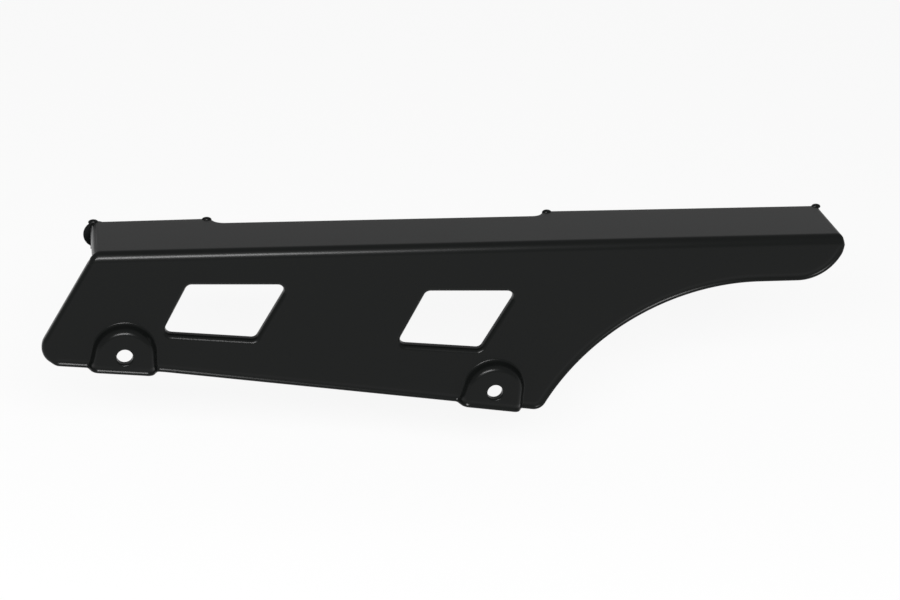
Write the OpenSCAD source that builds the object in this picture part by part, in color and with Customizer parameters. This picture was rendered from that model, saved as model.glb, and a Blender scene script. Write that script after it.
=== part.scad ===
// Motorcycle chain guard: one sheet pressed into a side plate, a top flange and a far lip.
// X runs back along the fold, Z is up and the side plate faces -Y.
// The origin is the middle of the front bolt hole, where its straight wall starts behind the rounded mouth.

/* [Sheet] */
// Thickness of the sheet
sheet = 1.2; // [0.9:0.1:2]
// Outer radius of the long fold between side plate and top flange
fold_r = 8; // [5:0.5:10]
// Depth of the turned-in rims behind the outer face
rim_depth = 6; // [5:0.5:10]

/* [Side plate] */
// Distance from the front bolt hole forward to the front end of the flange
front_reach = 18.5; // [16:0.5:24]
// Height of the top flange above the front bolt hole
top_rise = 67; // [62:1:76]
// Lean of the front edge from upright, in degrees
front_lean = 29.2; // [22:0.1:34]
// Radius of the front lower corner
toe_r = 12; // [8:0.5:16]
// Fall of the bottom edge under the front boss, in degrees
toe_fall = 5.7; // [4:0.1:7]
// Fall of the bottom edge behind the front boss, in degrees
bottom_fall = 8.6; // [8:0.1:9.5]
// Distance from the front bolt hole down to the bottom edge
hole_to_edge = 12.6; // [11:0.1:15]
// Radius of the rear lower corner
heel_r = 8; // [6:0.5:11]
// Radius of the hollow cut that clears the wheel
scallop_r = 155; // [145:1:165]
// Height of the tail below the top flange
tail_h = 31; // [28:0.5:36]
// Length of the tail behind the hollow cut
tail_len = 54; // [48:1:62]
// Reach of the rounded beak past the rear end of the flange
beak_out = 2.5; // [1:0.1:4]

/* [Top flange] */
// Length of the top flange
flange_len = 480; // [460:1:500]
// Width of the top flange from plate face to lip face
flange_w = 55; // [48:0.5:62]
// Length of the full-width stretch at the front
front_tab = 75; // [60:1:85]
// Length of the full-width stretch at the rear
rear_tab = 188; // [170:1:200]
// Depth of the step between the full-width stretches
step_in = 6.5; // [3:0.5:9]
// Height of the far lip below the top face
lip_h = 19; // [16:0.5:24]
// Reach of the lip's round ear past the front end of the flange
ear_out = 5.7; // [4:0.1:8]
// Radius of the lip's lower corners
lip_corner_r = 6; // [3:0.5:8]
// Radius of the beads where the lip tabs end
bead_r = 2; // [1.5:0.1:2.5]

/* [Windows] */
// Fall of the upper edge of each window, in degrees
window_top_fall = 1.7; // [0:0.1:4]
// Fall of the lower edge of each window, in degrees
window_bottom_fall = 5.8; // [3:0.1:8]
// Corner radius of each window
window_r = 4; // [2:0.25:6]
// Front window's upper front corner behind the front bolt hole
window_1_x = 39.2; // [36:0.1:44]
// Front window's upper front corner below the top face
window_1_drop = 23; // [20:0.5:26]
// Front window's upper edge length
window_1_w = 62.3; // [55:0.1:68]
// Front window's height at its front edge
window_1_h = 32.5; // [28:0.5:35]
// Rear window's upper front corner ahead of the rear bolt hole
window_2_lead = 46.4; // [42:0.1:56]
// Rear window's upper front corner below the top face
window_2_drop = 31.7; // [28:0.1:34]
// Rear window's upper edge length
window_2_w = 58.7; // [52:0.1:62]
// Rear window's height at its front edge
window_2_h = 36.2; // [32:0.1:38]
// Lean of a window's front edge from upright, in degrees
window_front_lean = 26; // [22:0.5:29]
// Lean of a window's rear edge from upright, in degrees
window_rear_lean = 28.7; // [25:0.1:31]

/* [Bosses] */
// Distance from the rear bolt hole back to the start of the tail
bolt_to_tail = 172.1; // [165:0.1:185]
// Distance from the rear bolt hole down to the bottom edge
rear_hole_to_edge = 13.3; // [12:0.1:15]
// Diameter of the bolt holes
hole_d = 10; // [8:0.1:11]
// Height of the bosses above the side plate
boss_h = 7; // [5:0.5:9]
// Radius of the boss foot round the bolt hole
boss_foot_r = 20.3; // [19:0.1:22]
// Width of the boss's sloping side
boss_run = 3.4; // [2.6:0.1:5]
// Spread of the boss's sides towards the bottom edge, in degrees
boss_flare = 6; // [2:0.5:10]
// Radius round the mouth of a bolt hole
mouth_r = 1.3; // [1.2:0.1:2]
// Depth of a bolt hole's drawn collar, from the boss face
collar_depth = 4.6; // [3.6:0.1:5.5]

/* [Hidden] */

black = "#1f2120";
cut = 1;            // overshoot of cutting solids
proud = 0.015;      // rounds stand this far past the straight edges that they run into
bend_gap_r = 60;    // radius of the slight bend in the bottom edge
bend_gap = 4;       // the bend lies this far behind the front boss's foot

x_front = -front_reach;
x_rear = x_front + flange_len;
top = top_rise;
fold_low = top - fold_r;
beak_c = [x_rear + beak_out - tail_h, top];
scallop_c = [x_rear - tail_len, top - tail_h - scallop_r];
bolt_span = scallop_c[0] - bolt_to_tail;

// Directions of travel round the plate, with the plate on the left
front_dir = [-sin(front_lean), -cos(front_lean)];
toe_dir = [cos(toe_fall), -sin(toe_fall)];
bottom_dir = [cos(bottom_fall), -sin(bottom_fall)];

function left(d) = [-d[1], d[0]];
function unit(v) = v / norm(v);
function cross2(a, b) = a[0] * b[1] - a[1] * b[0];
function meet(p, u, q, v) = p + u * cross2(q - p, v) / cross2(u, v);

// Points that the plate's straight edges pass through
front_p = [x_front + cut, top];
toe_p = -hole_to_edge * left(toe_dir);
bend_p = meet(toe_p, toe_dir, [boss_foot_r + bend_gap, 0], [0, 1]);
toe_corner = meet(front_p, front_dir, toe_p, toe_dir);

// Centre of a corner of radius r between two edges that turn left at c
function corner_c(c, u, v, r) = meet(c + r * left(u), u, c + r * left(v), v);
toe_c = corner_c(toe_corner, front_dir, toe_dir, toe_r);
bend_c = corner_c(bend_p, toe_dir, bottom_dir, -bend_gap_r);

// The heel's corner touches the bottom edge and the hollow cut
heel_line = bend_p + heel_r * left(bottom_dir);
heel_foot = heel_line + bottom_dir * ((scallop_c - heel_line) * bottom_dir);
heel_c = heel_foot - bottom_dir * sqrt(pow(scallop_r + heel_r, 2) - pow(norm(scallop_c - heel_foot), 2));

// Point at r to the right of c, seen along d
function foot(c, d, r) = c - r * left(d);

function window_x(i) = i == 0 ? window_1_x : bolt_span - window_2_lead;
function window_drop(i) = i == 0 ? window_1_drop : window_2_drop;
function window_w(i) = i == 0 ? window_1_w : window_2_w;
function window_h(i) = i == 0 ? window_1_h : window_2_h;

// Corners of a window, from its upper front corner backwards and round
function window_corners(i) =
    let (a = [window_x(i), top - window_drop(i)],
         b = a + window_w(i) * [1, -tan(window_top_fall)],
         d = a - window_h(i) * [tan(window_front_lean), 1],
         c = meet(d, [1, -tan(window_bottom_fall)], b, [tan(window_rear_lean), 1]))
    [a, b, c, d];
// Centres of a window's corner radii
function window_centres(i) =
    let (p = window_corners(i))
    [for (j = [0:3]) corner_c(p[j], unit(p[j] - p[(j + 3) % 4]), unit(p[(j + 1) % 4] - p[j]), -window_r)];

function hole_pos(i) = i == 0 ? [0, 0]
    : meet(bend_p + rear_hole_to_edge * left(bottom_dir), bottom_dir, [bolt_span, 0], [0, 1]);
function hole_fall(i) = i == 0 ? toe_fall : bottom_fall;
function edge_gap(i) = i == 0 ? hole_to_edge : rear_hole_to_edge;

// Outline of the side plate, drawn in by d, up to the top face
module outline_2d(d) {
    difference() {
        polygon([
            meet(front_p + d * left(front_dir), front_dir, [0, top], [1, 0]),
            foot(toe_c, front_dir, toe_r - d),
            toe_c,
            foot(toe_c, toe_dir, toe_r - d),
            foot(bend_c, toe_dir, -bend_gap_r - d),
            bend_c,
            foot(bend_c, bottom_dir, -bend_gap_r - d),
            foot(heel_c, bottom_dir, heel_r - d),
            heel_c,
            scallop_c,
            [scallop_c[0], top - tail_h + d],
            [beak_c[0], top - tail_h + d],
            beak_c
        ]);
        translate(scallop_c) circle(scallop_r + d + proud, $fn = 240);
        translate(bend_c) circle(bend_gap_r + d + proud, $fn = 240);
    }
    translate(toe_c) circle(toe_r - d + proud, $fn = 64);
    translate(heel_c) circle(heel_r - d + proud, $fn = 64);
    intersection() {
        translate(beak_c) circle(tail_h - d + proud, $fn = 128);
        translate(beak_c - [2 * cut, tail_h + cut]) square([tail_h + 3 * cut, tail_h + cut]);
    }
}

// A window's opening, let out by d
module window_2d(i, d) {
    p = window_corners(i);
    c = window_centres(i);
    polygon([for (j = [0:3], e = [0, 1])
        c[j] + (window_r + d) * left(unit(p[(j + e) % 4] - p[(j + 3 + e) % 4]))]);
    for (j = [0:3])
        translate(c[j]) circle(window_r + d + proud, $fn = 48);
}

// Solid of the side plate below the fold, k inside its outer faces
module plate_solid(k) {
    low = -rim_depth - (k > 0 ? cut : 0);
    translate([0, 0, low]) linear_extrude(-low - k) difference() {
        intersection() {
            outline_2d(k);
            translate([x_front - 2 * top, fold_low - 4 * top])
                square([2 * flange_len, 4 * top + (k > 0 ? cut / 2 : 0)]);
        }
        for (i = [0, 1]) window_2d(i, k);
    }
}

// Half width of a boss at height z, k inside its outer face
function boss_r(z, k) =
    boss_foot_r - z * boss_run / boss_h - k * sqrt(1 + pow(boss_run / boss_h, 2));

// Solid of a boss round its bolt hole, k inside its outer face and with the bottom edge gap below
module boss_solid(k, gap) {
    reach = gap + boss_foot_r;
    low = k > 0 ? -sheet - cut : -sheet / 2;
    high = boss_h - k;
    intersection() {
        union() {
            translate([0, 0, low])
                cylinder(r1 = boss_r(low, k) + proud, r2 = boss_r(high, k) + proud, h = high - low, $fn = 96);
            for (s = [0, 1]) mirror([s, 0, 0]) rotate([0, 0, boss_flare]) rotate([90, 0, 0])
                linear_extrude(reach)
                    polygon([[0, low], [boss_r(low, k), low], [boss_r(high, k), high], [0, high]]);
        }
        translate([-2 * reach, -gap + k, low - cut]) cube([4 * reach, 4 * reach, high - low + 2 * cut]);
    }
}

module at_boss(i) {
    translate([hole_pos(i)[0], hole_pos(i)[1], 0]) rotate([0, 0, -hole_fall(i)]) children();
}

// Drawn collar behind a bolt hole's mouth
module collar() {
    translate([0, 0, boss_h - collar_depth])
        cylinder(d = hole_d + 2 * sheet, h = collar_depth - sheet / 2, $fn = 64);
}

// Bore of a bolt hole and the flare of its mouth
module bolt_cut() {
    translate([0, 0, boss_h - collar_depth - cut])
        cylinder(d = hole_d, h = collar_depth + 2 * cut, $fn = 64);
    rotate_extrude($fn = 64) difference() {
        translate([0, boss_h - mouth_r]) square([hole_d / 2 + mouth_r, mouth_r + cut]);
        translate([hole_d / 2 + mouth_r, boss_h - mouth_r]) circle(mouth_r, $fn = 48);
    }
}

module side_plate() {
    difference() {
        union() {
            difference() {
                union() {
                    plate_solid(0);
                    for (i = [0, 1]) at_boss(i) boss_solid(0, edge_gap(i) - proud);
                }
                plate_solid(sheet);
                for (i = [0, 1]) at_boss(i) boss_solid(sheet, edge_gap(i) - proud);
            }
            for (i = [0, 1]) at_boss(i) collar();
        }
        for (i = [0, 1]) at_boss(i) bolt_cut();
    }
}

// Long fold between the side plate and the top flange, cut to the plate's outline
module fold() {
    intersection() {
        translate([x_front - fold_r, fold_low, -fold_r]) rotate([90, 0, 90])
            linear_extrude(flange_len + 2 * fold_r) difference() {
                intersection() {
                    circle(fold_r, $fn = 96);
                    square(fold_r);
                }
                circle(fold_r - sheet, $fn = 96);
            }
        translate([0, 0, -fold_r - cut]) linear_extrude(fold_r + 2 * cut) intersection() {
            outline_2d(0);
            translate([x_front - fold_r, fold_low - cut]) square([flange_len + 2 * fold_r, 2 * fold_r]);
        }
    }
}

// Plan of the top flange, drawn in by d: x along the fold and y away from the side plate
module flange_plan(d) {
    x = [x_front + d, x_front + front_tab - d, x_rear - rear_tab + d, x_rear - d];
    y = [fold_r - (d > 0 ? cut : 0), flange_w - step_in - d, flange_w - d];
    polygon([[x[0], y[0]], [x[0], y[2]], [x[1], y[2]], [x[1] + step_in, y[1]],
             [x[2] - step_in, y[1]], [x[2], y[2]], [x[3], y[2]], [x[3], y[0]]]);
}

// Section of the flange's far edge, k inside its outer face
module flange_solid(k) {
    h = rim_depth + (k > 0 ? cut : 0);
    translate([0, 0, -h]) linear_extrude(h - k) flange_plan(k);
}

// Side view of the far lip: two tabs, the front one ending in a round ear
module lip_2d() {
    ear_r = lip_h / 2;
    ear_c = [x_front - ear_out + ear_r, top - ear_r];
    low = top - lip_h;
    translate(ear_c) circle(ear_r + proud, $fn = 96);
    difference() {
        union() {
            translate([ear_c[0], low]) square([x_front + front_tab - ear_c[0], lip_h]);
            translate([x_rear - rear_tab, low]) square([rear_tab, lip_h]);
        }
        for (x = [x_front + front_tab, x_rear]) lip_corner(x, low, 1);
        lip_corner(x_rear - rear_tab, low, -1);
    }
}

// Waste outside a lower corner of a lip tab, on the side s of x
module lip_corner(x, low, s) {
    translate([x - s * lip_corner_r, low + lip_corner_r]) difference() {
        translate([s > 0 ? 0 : -lip_corner_r - cut, -lip_corner_r - cut])
            square(lip_corner_r + cut);
        circle(lip_corner_r + proud, $fn = 64);
    }
}

module top_flange() {
    translate([0, top, 0]) rotate([-90, 0, 0]) difference() {
        flange_solid(0);
        flange_solid(sheet);
    }
    translate([0, 0, -flange_w]) linear_extrude(sheet) lip_2d();
    for (x = [x_front + bead_r, x_front + front_tab - bead_r, x_rear - rear_tab + bead_r, x_rear - bead_r])
        translate([x, top - bead_r / 4, -flange_w + bead_r]) sphere(bead_r, $fn = 32);
}

module chain_guard() {
    color(black) rotate([90, 0, 0]) translate([0, 0, mouth_r - boss_h]) {
        side_plate();
        fold();
        top_flange();
    }
}

chain_guard();
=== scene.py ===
from math import atan2, cos, inf, pi, radians, sin, sqrt, tan

import bmesh
import bpy
from mathutils import Matrix, Vector


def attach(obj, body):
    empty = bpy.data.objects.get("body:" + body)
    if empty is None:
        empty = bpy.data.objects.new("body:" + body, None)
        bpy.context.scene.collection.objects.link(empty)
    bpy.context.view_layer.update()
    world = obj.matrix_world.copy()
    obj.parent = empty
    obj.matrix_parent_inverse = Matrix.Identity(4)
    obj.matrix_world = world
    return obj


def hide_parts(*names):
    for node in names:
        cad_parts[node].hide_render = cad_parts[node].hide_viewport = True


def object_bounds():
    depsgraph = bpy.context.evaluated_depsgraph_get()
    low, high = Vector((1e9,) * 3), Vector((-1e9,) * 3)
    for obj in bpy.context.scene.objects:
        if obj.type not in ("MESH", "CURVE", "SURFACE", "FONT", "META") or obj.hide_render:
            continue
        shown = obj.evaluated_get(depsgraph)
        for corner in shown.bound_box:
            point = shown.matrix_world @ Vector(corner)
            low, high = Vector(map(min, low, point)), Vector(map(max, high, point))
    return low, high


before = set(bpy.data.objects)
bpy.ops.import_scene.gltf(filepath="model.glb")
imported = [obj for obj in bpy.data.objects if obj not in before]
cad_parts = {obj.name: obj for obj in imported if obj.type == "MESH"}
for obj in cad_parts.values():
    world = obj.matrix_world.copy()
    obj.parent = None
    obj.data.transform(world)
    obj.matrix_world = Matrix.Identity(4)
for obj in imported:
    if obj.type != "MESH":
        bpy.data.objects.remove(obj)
cad_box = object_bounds()
bpy.ops.object.select_all(action="DESELECT")


# The blank: one flat sheet of steel, cut to the outline of the side plate, the
# fold and the top flange laid out in one plane. It is drawn in millimetres, X
# along the fold and Z up the plate, on the outer face of the sheet.

top, flange_w = 67, 55
front_x, rear_x = -18.5, 461.5
easy_r, tight_r, easy_turn = 9, 4, radians(40)
fold_drop = easy_r * sin(easy_turn) + tight_r * (1 - sin(easy_turn))
fold_in = easy_r * (1 - cos(easy_turn)) + tight_r * cos(easy_turn)
bend_len = easy_r * easy_turn + tight_r * (pi / 2 - easy_turn)
fold_low = top - fold_drop
fold_high = fold_low + bend_len
far_z = fold_high + flange_w - fold_in

front_tab, rear_tab = 75, 188
step_depth, step_run, step_r = 6.5, 6, 7
tab_front, tab_rear, inner_z = front_x + front_tab, rear_x - rear_tab, far_z - step_depth

front_lean, toe_fall, bottom_fall = 29.2, 5.7, 8.6
front_set, hole_to_edge, bend_x = 1.6, 12.1, 24.3
tail_h, tail_back, beak_out = 31, 54, 2.5
toe_r, bend_r, heel_r, scallop_r, beak_r = 12, 60, 8, 155, 31
edge_strips = (0.119, 0.35, 0.556, 0.35, 0.375, 0.42, 0.424, 0.45, 0.456, 0.8, 0.9, 0.9)
hair, same_point = 0.01, 0.1


def line(x, z, angle):
    """A line through a point of the blank, as that point and a direction."""
    return Vector((x, 0, z)), Vector((cos(radians(angle)), 0, sin(radians(angle))))


def meet(a, b):
    """Point where two lines of the blank cross."""
    (p, u), (q, v) = a, b
    w = q - p
    return p + u * (w.x * v.z - w.z * v.x) / (u.x * v.z - u.z * v.x)


def across(d):
    """Direction square to d in the blank, on its left."""
    return Vector((-d.z, 0, d.x))


def open_mesh():
    """The mesh in edit mode."""
    return bmesh.from_edit_mesh(bpy.context.edit_object.data)


def pick(kind, test):
    """Selects the vertices, edges or faces of the open mesh that pass the test, and nothing else."""
    bpy.ops.mesh.select_mode(type=kind)
    bpy.ops.mesh.select_all(action="DESELECT")
    mesh = open_mesh()
    for part in {"VERT": mesh.verts, "EDGE": mesh.edges, "FACE": mesh.faces}[kind]:
        if test(part):
            part.select_set(True)
    bmesh.update_edit_mesh(bpy.context.edit_object.data)


def polygon(points):
    """Adds a flat face to the open mesh: a circle with its corners drawn out to the points."""
    bpy.ops.mesh.primitive_circle_add(
        vertices=len(points), radius=1, fill_type="NGON", rotation=(pi / 2, 0, 0)
    )
    face = [f for f in open_mesh().faces if f.select][0]
    for loop, p in zip(face.loops, points):
        loop.vert.co = p
    bmesh.update_edit_mesh(bpy.context.edit_object.data)


def round_corner(p, radius, segments):
    """Rounds the corner at p of a flat face to a true arc."""
    pick("VERT", lambda v: (v.co - p).length < hair)
    v = [v for v in open_mesh().verts if v.select][0]
    a, b = [(e.other_vert(v).co - v.co).normalized() for e in v.link_edges if e.is_boundary]
    turn = pi - a.angle(b)
    centre = p + (a + b).normalized() * radius / cos(turn / 2)
    bpy.ops.mesh.bevel(
        affect="VERTICES", offset=radius * tan(turn / 2), segments=segments, clamp_overlap=False
    )
    for v in open_mesh().verts:
        if v.select:
            v.co = centre + (v.co - centre).normalized() * radius


def rim_strips(widths):
    """Insets the selected flat face strip by strip and takes its middle out."""
    for width in widths:
        bpy.ops.mesh.inset(thickness=width, use_boundary=True, use_even_offset=True)
    bpy.ops.mesh.delete(type="ONLY_FACE")


toe_line = line(-hole_to_edge * sin(radians(toe_fall)), -hole_to_edge * cos(radians(toe_fall)), -toe_fall)
bend = meet(toe_line, line(bend_x, 0, 90))
bottom_line = line(bend.x, bend.z, -bottom_fall)
front_line = line(front_x + front_set, top, 90 - front_lean)
tail_line = line(0, top - tail_h, 0)

# The heel's arc touches the bottom edge and meets the hollow cut's arc where one line touches both
scallop_c = Vector((rear_x - tail_back, 0, top - tail_h - scallop_r))
heel_side = bend + heel_r * across(bottom_line[1])
heel_foot = heel_side + bottom_line[1] * (scallop_c - heel_side).dot(bottom_line[1])
heel_back = sqrt((scallop_r + heel_r) ** 2 - (scallop_c - heel_foot).length ** 2)
heel_c = heel_foot - bottom_line[1] * heel_back
touch = heel_c + (scallop_c - heel_c) * heel_r / (scallop_r + heel_r)
tangent_line = (touch, across(scallop_c - touch))
beak_c = Vector((rear_x + beak_out - beak_r, 0, top))
beak_end = beak_c + Vector((sqrt(beak_r**2 - fold_drop**2), 0, -fold_drop))

toe = meet(front_line, toe_line)
heel = meet(bottom_line, tangent_line)
hollow = meet(tangent_line, tail_line)
beak = meet(tail_line, (beak_end, across(beak_end - beak_c)))
step_in_rear = Vector((tab_rear - step_run, 0, inner_z))
step_in_front = Vector((tab_front + step_run, 0, inner_z))
outline = [
    toe,
    bend,
    heel,
    hollow,
    beak,
    beak_end,
    Vector((rear_x, 0, fold_high)),
    Vector((rear_x, 0, far_z)),
    Vector((tab_rear, 0, far_z)),
    step_in_rear,
    step_in_front,
    Vector((tab_front, 0, far_z)),
    Vector((front_x, 0, far_z)),
    Vector((front_x, 0, fold_high)),
    meet(front_line, line(0, fold_low, 0)),
]

bpy.ops.mesh.primitive_plane_add(size=1)
guard = bpy.context.object
guard.name = "pressed_sheet"
bpy.ops.object.mode_set(mode="EDIT")
bpy.ops.mesh.delete(type="VERT")
polygon(outline)
for p, radius, segments in (
    (toe, toe_r, 18),
    (bend, bend_r, 3),
    (heel, heel_r, 16),
    (hollow, scallop_r, 64),
    (beak, beak_r, 26),
    (step_in_rear, step_r, 6),
    (step_in_front, step_r, 6),
):
    round_corner(p, radius, segments)
bpy.ops.mesh.select_all(action="SELECT")
bpy.ops.mesh.remove_doubles(threshold=same_point)

# Narrow strips along the edge, for the rim to turn round in and for the gutter beside it
pick("FACE", lambda f: True)
rim_strips(edge_strips)


# The two slanted windows, punched through the steel sheet so that the chain can
# be seen and cleaned. Their edges are turned in like the outer one, so each
# opening is ringed by narrow strips as well.

windows = ((39.2, 23, 62.3, 32.5), (189, 31.7, 58.7, 36.2))
head_fall, sill_fall, front_slant, rear_slant = 1.7, 5.8, 26, 28.7
window_r, window_steps = 4, 12
window_strips = (0.8, 0.906, 0.844, 0.725, 0.556, 0.35, 0.119)
margin = sum(window_strips)
wide_strip = 0.5


def beside_middle(e):
    """True for an edge on the open side of the widest strip, where the flat middle starts."""
    if not e.is_boundary:
        return False
    side = (e.verts[1].co - e.verts[0].co).normalized().cross(Vector((0, 1, 0)))
    return max(abs((v.co - e.verts[0].co).dot(side)) for v in e.link_faces[0].verts) > wide_strip


for x, drop, width, height in windows:
    a = Vector((x, 0, top - drop))
    b = a + width * Vector((1, 0, -tan(radians(head_fall))))
    d = a - height * Vector((tan(radians(front_slant)), 0, 1))
    c = meet(line(d.x, d.z, -sill_fall), line(b.x, b.z, 90 - rear_slant))
    corners = (a, b, c, d)
    sides = [(q - p).normalized() for p, q in zip(corners, (b, c, d, a))]
    wide = []
    for p, before, after in zip(corners, sides[-1:] + sides, sides):
        wide.append(meet((p + margin * across(before), before), (p + margin * across(after), after)))
    polygon(wide)
    for p in wide:
        round_corner(p, window_r + margin, window_steps)
    pick("FACE", lambda f: len(f.verts) > 3 * window_steps)
    rim_strips(window_strips)

# The flat middle of the sheet, between the outline's strips and the windows'
pick("EDGE", beside_middle)
bpy.ops.mesh.fill()


# The two bolt bosses, pressed out of the steel sheet's outer side to take the
# bolts. Each is round above its hole, flares down to the plate's bottom edge and
# takes the turned-in rim out with it.

boss_h, boss_r, boss_run, boss_flare = 7, 20.3, 3.4, radians(6)
foot_soft, shoulder_soft = 1.8, 5
rear_hole_x, rear_hole_z = 235.4, -33.6
grid, squares_across, squares_up, squares_down = 0.5, 47, 45, 12
past_edge = 1
bend_steps = 14


def cut(p, d):
    """Cuts the selected faces along the line through p in direction d."""
    bpy.ops.mesh.bisect(plane_co=p, plane_no=across(d))


def boss_at(x, z, fall, edge):
    """A bolt hole's middle, the directions along and up from the bottom edge, and its height over it."""
    o, u = line(x, z, -fall)
    v = across(u)
    return o, u, v, (o - edge[0]).dot(v)


def fine_squares(o, u, v, gap):
    """Cuts the sheet round a bolt hole into fine squares for it to stretch in."""
    side, low, high = squares_across * grid, -gap - past_edge, squares_up * grid

    def spans(f):
        along = [(w.co - o).dot(u) for w in f.verts]
        above = [(w.co - o).dot(v) for w in f.verts]
        return max(along) > -side and min(along) < side and max(above) > low and min(above) < high

    def inside(f):
        m = f.calc_center_median() - o
        return abs(m.dot(u)) < side and low < m.dot(v) < high

    for p, d in ((o + u * side, v), (o - u * side, v), (o + v * high, u)):
        pick("FACE", spans)
        cut(p, d)
    pick("FACE", inside)
    bpy.ops.mesh.hide(unselected=True)
    for k in range(1 - squares_across, squares_across):
        bpy.ops.mesh.select_all(action="SELECT")
        cut(o + u * grid * k, v)
    for k in range(-squares_down, squares_up):
        bpy.ops.mesh.select_all(action="SELECT")
        cut(o + v * grid * k, u)
    bpy.ops.mesh.reveal(select=False)


def boss_rise(p):
    """How far the sheet is drawn out at p: a soft foot, a sloping side and a rounded shoulder."""
    slope = atan2(boss_h, boss_run)
    foot, shoulder = foot_soft * tan(slope / 2), shoulder_soft * tan(slope / 2)
    for o, u, v, _ in bosses:
        x, z = abs((p - o).dot(u)), (p - o).dot(v)
        if atan2(z, x) > boss_flare:
            e = boss_r - sqrt(x * x + z * z)
        else:
            e = boss_r - x * cos(boss_flare) - z * sin(boss_flare)
        if e <= -foot:
            continue
        if e < foot * cos(slope):
            return foot_soft - sqrt(foot_soft**2 - (e + foot) ** 2)
        if e < boss_run - shoulder * cos(slope):
            return e * boss_h / boss_run
        if e < boss_run + shoulder:
            return boss_h - shoulder_soft + sqrt(shoulder_soft**2 - (boss_run + shoulder - e) ** 2)
        return boss_h
    return 0


bosses = [
    boss_at(0, 0, toe_fall, toe_line),
    boss_at(rear_hole_x, rear_hole_z, bottom_fall, bottom_line),
]
for boss in bosses:
    fine_squares(*boss)

# Narrow strips for the sheet to bend in at the fold
bend_lines = [fold_low + bend_len * k / bend_steps for k in range(bend_steps + 1)]
for z in [fold_low - past_edge, *bend_lines, fold_high + past_edge]:
    bpy.ops.mesh.select_all(action="SELECT")
    cut(Vector((0, 0, z)), Vector((1, 0, 0)))


# The turned-in rims and the far lip: the sheet's own edge, pressed round a small
# radius and carried on square to its face. Along the bottom, the hollow cut and
# the tail the edge rolls out a little, with a shallow gutter beside it.

rim_depth, lip_h, tab_corner = 6, 19, 6
edge_rim, rolled_rim, front_rim, lip_rim, corner_run = 3.5, 1.3, 5, 2, 6
roll_front, toe_fade, top_fade, near_edge = front_x - 27, 4, 5, 1
gutter_start, gutter_mid, gutter_end, gutter_depth = 1.2, 3.2, 6.1, 0.75


def within(t):
    """t kept between 0 and 1."""
    return min(1, max(0, t))


def rim_radius(q):
    """Radius of the rim at the outline's point q: easy in front of the flange, tight along the lip."""
    if q.z > far_z - near_edge:
        front = (front_rim - lip_rim) * (1 - (q.x - front_x) / corner_run)
        rear = (edge_rim - lip_rim) * (1 - (rear_x - q.x) / corner_run)
        return lip_rim + max(0, front, rear)
    if q.x < front_x + near_edge:
        return edge_rim + (front_rim - edge_rim) * within((q.z - fold_low) / bend_len)
    return edge_rim


def rolled(q):
    """How much the edge rolls out at the outline's point q: fully along the bottom and the tail alone."""
    low = [abs((q - p).dot(across(d))) for p, d in (toe_line, bottom_line)]
    if q.x > touch.x:
        low += [abs(q.z - tail_line[0].z), abs((q - scallop_c).length - scallop_r)]
    if q.x > beak_c.x:
        low.append(abs((q - beak_c).length - beak_r))
    if q.x > touch.x - 2 * heel_r:
        low.append(abs((q - heel_c).length - heel_r))
    if min(low) > near_edge:
        return 0
    return within((q.x - roll_front) / toe_fade) * within((fold_low - q.z) / top_fade)


def gutter(gap):
    """Depth, from 0 to 1, of the gutter at a distance from the outline."""
    if gap < gutter_mid:
        return (1 - cos(pi * within((gap - gutter_start) / (gutter_mid - gutter_start)))) / 2
    return (1 + cos(pi * within((gap - gutter_mid) / (gutter_end - gutter_mid)))) / 2


def nearest(p, edges):
    """Distance from p to the nearest of the edges, and the point on it."""
    gap, q = inf, None
    for start, run, length in edges:
        w = p - start
        if max(abs(w.x), abs(w.z)) > gap + length:
            continue
        on_edge = run * within(w.dot(run) / length**2)
        d = (w - on_edge).length
        if d < gap:
            gap, q = d, start + on_edge
    return gap, q


edges = []
for e in open_mesh().edges:
    if e.is_boundary:
        run = e.verts[1].co - e.verts[0].co
        edges.append((e.verts[0].co.copy(), run, run.length))
for v in open_mesh().verts:
    gap, q = nearest(v.co, edges)
    roll = rolled(q)
    r = rim_radius(q) - (edge_rim - rolled_rim) * roll
    turned = r - sqrt(max(0, r * r - (r - min(gap, r)) ** 2))
    v.co.y = turned + gutter_depth * roll * gutter(gap) - boss_rise(v.co)
bmesh.update_edit_mesh(guard.data)

pick("EDGE", lambda e: e.is_boundary)
bpy.ops.mesh.extrude_region_move()
bpy.ops.transform.resize(value=(1, 0, 1), center_override=(0, rim_depth, 0))
pick("EDGE", lambda e: e.is_boundary and min(v.co.z for v in e.verts) > far_z - hair)
bpy.ops.mesh.extrude_region_move()
bpy.ops.transform.resize(value=(1, 0, 1), center_override=(0, lip_h, 0))
for x in (tab_front, tab_rear, rear_x):
    pick("VERT", lambda v: abs(v.co.x - x) < hair and v.co.y > lip_h - hair)
    bpy.ops.mesh.bevel(affect="VERTICES", offset=tab_corner, segments=8)


# The bolt holes: punched in the flat of each steel boss, with a rounded mouth and
# a short collar drawn inwards for the bolt's shoulder.

hole_r, mouth_r, mouth_gap, collar_depth = 5, 1.3, 0.3, 4.6
hole_squares, square_dip, hole_corners, mouth_steps = 15, 1, 80, 5


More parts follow.
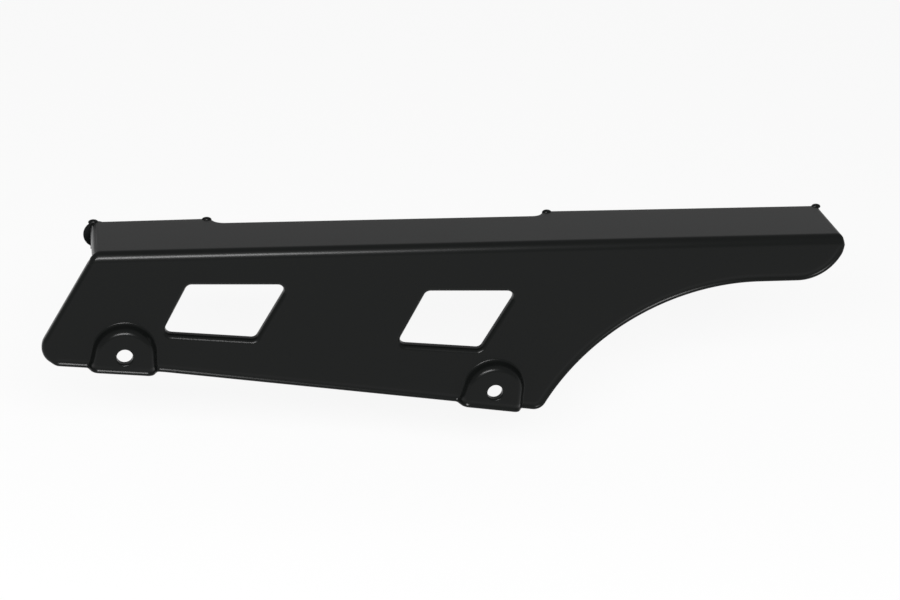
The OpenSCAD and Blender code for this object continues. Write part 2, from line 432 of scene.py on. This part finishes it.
def punch(o, u, v):
    """Punches a bolt hole at o and draws its mouth and its collar inwards."""
    half = hole_squares * grid

    def in_square(f):
        m = f.calc_center_median() - o
        return abs(m.dot(u)) < half and abs(m.dot(v)) < half

    def at_hole(e):
        p = e.verts[0].co
        return len(e.link_faces) < 2 and p.y < square_dip - boss_h and (p - o).length < boss_r

    pick("FACE", in_square)
    bpy.ops.mesh.delete(type="FACE")
    r = hole_r + mouth_r + mouth_gap
    bpy.ops.mesh.primitive_circle_add(
        vertices=hole_corners,
        radius=r,
        location=(o.x, -boss_h, o.z),
        rotation=(pi / 2, atan2(-u.z, u.x), 0),
    )
    pick("EDGE", at_hole)
    bpy.ops.mesh.fill()
    pick("EDGE", at_hole)
    mouth = [pi / 2 * k / mouth_steps for k in range(mouth_steps + 1)]
    rings = [(hole_r + mouth_r * (1 - sin(a)), mouth_r * (1 - cos(a)) - boss_h) for a in mouth]
    for ring, y in [*rings, (hole_r, collar_depth - boss_h)]:
        bpy.ops.mesh.extrude_region_move()
        bpy.ops.transform.resize(value=(ring / r, 1, ring / r), center_override=o)
        bpy.ops.transform.resize(value=(1, 0, 1), center_override=(0, y, 0))
        r = ring


for o, u, v, _ in bosses:
    punch(o, u, v)


# The long fold: the sheet is bent over a former that is round at first and tight
# at its end, which lays the flange square to the side plate. The sheet then gets
# its thickness, inwards from its outer face.

plate_y, sheet_mm, mm = 5.7, 1.2, 0.001
doubles, sliver, crisp_angle = 0.02, 0.01, radians(40)

for v in open_mesh().verts:
    past, depth = v.co.z - fold_low, v.co.y
    if past > 0:
        a = min(past / easy_r, easy_turn)
        b = min(a + max(0, past - easy_r * easy_turn) / tight_r, pi / 2)
        flat = max(0, past - bend_len)
        v.co.z = fold_low + easy_r * sin(a) + tight_r * (sin(b) - sin(a)) - depth * sin(b)
        v.co.y = easy_r * (1 - cos(a)) + tight_r * (cos(a) - cos(b)) + depth * cos(b) + flat
bpy.ops.mesh.select_mode(type="VERT")
bpy.ops.mesh.select_all(action="SELECT")
bpy.ops.mesh.remove_doubles(threshold=doubles)
bpy.ops.mesh.dissolve_degenerate(threshold=sliver)
bpy.ops.mesh.select_all(action="SELECT")
bpy.ops.mesh.normals_make_consistent(inside=False)
outermost = min(open_mesh().faces, key=lambda f: f.calc_center_median().y)
if outermost.normal.y > 0:
    bpy.ops.mesh.flip_normals()
bpy.ops.transform.translate(value=(0, plate_y, 0))
bpy.ops.transform.resize(value=(mm, mm, mm), center_override=(0, 0, 0))
bpy.ops.object.mode_set(mode="OBJECT")
thickness = guard.modifiers.new("sheet thickness", "SOLIDIFY")
thickness.thickness = sheet_mm * mm
thickness.offset = -1
thickness.use_quality_normals = True
bpy.ops.object.modifier_apply(modifier=thickness.name)
bpy.ops.object.shade_smooth_by_angle(angle=crisp_angle)


# The lip's round ear in front of the flange, of the same sheet and cut in one
# with the front tab. It is a hair thicker than the lip and set a hair inwards,
# so that their faces don't lie in one plane.

lip_y = plate_y + flange_w
ear_r, ear_out, ear_drop, ear_inset, ear_edge = 8.8, 4.4, 0.5, 0.07, 0.3
ear_t = sheet_mm + 0.1
ear_c = Vector((front_x - ear_out + ear_r, lip_y - sheet_mm / 2 - ear_inset, top - ear_drop - ear_r))

bpy.ops.mesh.primitive_cylinder_add(
    vertices=96, radius=ear_r * mm, depth=ear_t * mm, location=ear_c * mm, rotation=(pi / 2, 0, 0)
)
ear = bpy.context.object
bpy.ops.object.transform_apply()
bpy.ops.object.mode_set(mode="EDIT")
pick("EDGE", lambda e: any(len(f.verts) > 4 for f in e.link_faces))
bpy.ops.mesh.bevel(offset=ear_edge * mm, segments=3)
bpy.ops.object.mode_set(mode="OBJECT")
bpy.ops.object.shade_smooth_by_angle(angle=crisp_angle)


# The four small beads on the flange's far edge: steel that is squeezed up where
# the lip's sharp bend ends, at both ends of each tab. They are one with the
# sheet, as the ear is.

bead_r, bead_shape = 2, (1.6, 1, 0.9)
bead_z = top - bead_r / 4

beads = []
for x in (front_x + bead_r, tab_front - bead_r, tab_rear + bead_r, rear_x - bead_r):
    bpy.ops.mesh.primitive_uv_sphere_add(
        segments=24,
        ring_count=12,
        radius=bead_r * mm,
        scale=bead_shape,
        location=(x * mm, (lip_y - bead_r) * mm, bead_z * mm),
    )
    bpy.ops.object.transform_apply()
    bpy.ops.object.shade_smooth()
    beads.append(bpy.context.object)

bpy.ops.object.select_all(action="DESELECT")
for piece in (ear, *beads, guard):
    piece.select_set(True)
bpy.context.view_layer.objects.active = guard
bpy.ops.object.join()


# The finish: satin black paint over the whole pressing, with the faint grain
# and slightly uneven gloss of a sprayed and baked coat.

paint = bpy.data.materials.new("satin_black_paint")
paint.use_nodes = True
nodes, links = paint.node_tree.nodes, paint.node_tree.links
shader = nodes["Principled BSDF"]
shader.inputs["Base Color"].default_value = (0.0032, 0.0037, 0.0035, 1)
shader.inputs["Specular IOR Level"].default_value = 0.135
place = nodes.new("ShaderNodeTexCoord")
grain = nodes.new("ShaderNodeTexNoise")
grain.inputs["Scale"].default_value = 1400
grain.inputs["Detail"].default_value = 3
links.new(place.outputs["Object"], grain.inputs["Vector"])
bump = nodes.new("ShaderNodeBump")
bump.inputs["Strength"].default_value = 0.12
bump.inputs["Distance"].default_value = 0.00012
links.new(grain.outputs["Fac"], bump.inputs["Height"])
links.new(bump.outputs["Normal"], shader.inputs["Normal"])
cloud = nodes.new("ShaderNodeTexNoise")
cloud.inputs["Scale"].default_value = 25
links.new(place.outputs["Object"], cloud.inputs["Vector"])
gloss = nodes.new("ShaderNodeMapRange")
gloss.inputs["To Min"].default_value = 0.22
gloss.inputs["To Max"].default_value = 0.27
links.new(cloud.outputs["Fac"], gloss.inputs["Value"])
links.new(gloss.outputs["Result"], shader.inputs["Roughness"])
guard.data.materials.clear()
guard.data.materials.append(paint)

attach(guard, "root")
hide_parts("chain_guard")


# The studio floor: a wide pale sheet lying well below the guard, which is held
# in the air. It is matt, and shows as nearly white to the eye and in the paint,
# but keeps the guard's faint shadow.

floor_drop, floor_w, floor_x = 0.09, 8, 0.2
floor_z = cad_box[0][2] - floor_drop
bpy.ops.mesh.primitive_plane_add(size=floor_w, location=(floor_x, 0, floor_z))
floor = bpy.context.object
bpy.ops.object.transform_apply()
floor.name = "floor"
card = bpy.data.materials.new("pale_floor")
card.use_nodes = True
nodes, links = card.node_tree.nodes, card.node_tree.links
matt = nodes["Principled BSDF"]
matt.inputs["Base Color"].default_value = (0.93, 0.93, 0.93, 1)
matt.inputs["Roughness"].default_value = 0.9
matt.inputs["Specular IOR Level"].default_value = 0
white = nodes.new("ShaderNodeEmission")
ray = nodes.new("ShaderNodeLightPath")
seen = ray.outputs["Is Camera Ray"]
for kind in ("Is Glossy Ray", "Is Transmission Ray"):
    either = nodes.new("ShaderNodeMath")
    either.operation = "MAXIMUM"
    links.new(seen, either.inputs[0])
    links.new(ray.outputs[kind], either.inputs[1])
    seen = either.outputs["Value"]
share = nodes.new("ShaderNodeMath")
share.operation = "MULTIPLY"
share.inputs[1].default_value = 0.85
links.new(seen, share.inputs[0])
blend = nodes.new("ShaderNodeMixShader")
links.new(share.outputs["Value"], blend.inputs["Fac"])
links.new(matt.outputs["BSDF"], blend.inputs[1])
links.new(white.outputs["Emission"], blend.inputs[2])
links.new(blend.outputs["Shader"], nodes["Material Output"].inputs["Surface"])
floor.data.materials.append(card)


# The light: a pale room all round, and one long softbox in front of the guard
# and above it, which puts the bright line along the fold.

world = bpy.data.worlds.new("pale_room")
bpy.context.scene.world = world
world.use_nodes = True
world.node_tree.nodes["Background"].inputs["Color"].default_value = (1, 1, 1, 1)
world.node_tree.nodes["Background"].inputs["Strength"].default_value = 0.56

softbox_place, softbox_aim = Vector((-0.05, -1.3, 0.79)), Vector((0.05, 0, 0.05))
bpy.ops.object.light_add(type="AREA", location=softbox_place)
softbox = bpy.context.object
softbox.name = "front_softbox"
softbox.data.shape = "RECTANGLE"
softbox.data.size = 0.75
softbox.data.size_y = 0.2
softbox.data.energy = 24
softbox.rotation_euler = (softbox_aim - softbox_place).to_track_quat("-Z", "Y").to_euler()


# The camera, at the photograph's angle: a long lens, out in front of the
# guard's front end and well above it, with the picture's slight roll.

azimuth, elevation, tilt = radians(-11.117), radians(24), radians(2.913)
camera_place = Vector((-0.0369, -1.2197, 0.5857))
picture_w, focal_px, sensor_w = 900, 2164.656, 36
forward = Vector((-sin(azimuth) * cos(elevation), cos(azimuth) * cos(elevation), -sin(elevation)))
right = Vector((cos(azimuth), sin(azimuth), 0))
upward = right.cross(forward)
lens_right = right * cos(tilt) + upward * sin(tilt)
lens_up = upward * cos(tilt) - right * sin(tilt)
facing = Matrix((lens_right, lens_up, -forward)).transposed().to_4x4()
bpy.ops.object.camera_add()
camera = bpy.context.object
camera.matrix_world = Matrix.Translation(camera_place) @ facing
camera.data.sensor_width = sensor_w
camera.data.lens = sensor_w * focal_px / picture_w
camera.data.clip_end = 50
bpy.context.scene.camera = camera

bpy.context.scene.view_settings.view_transform = "Standard"
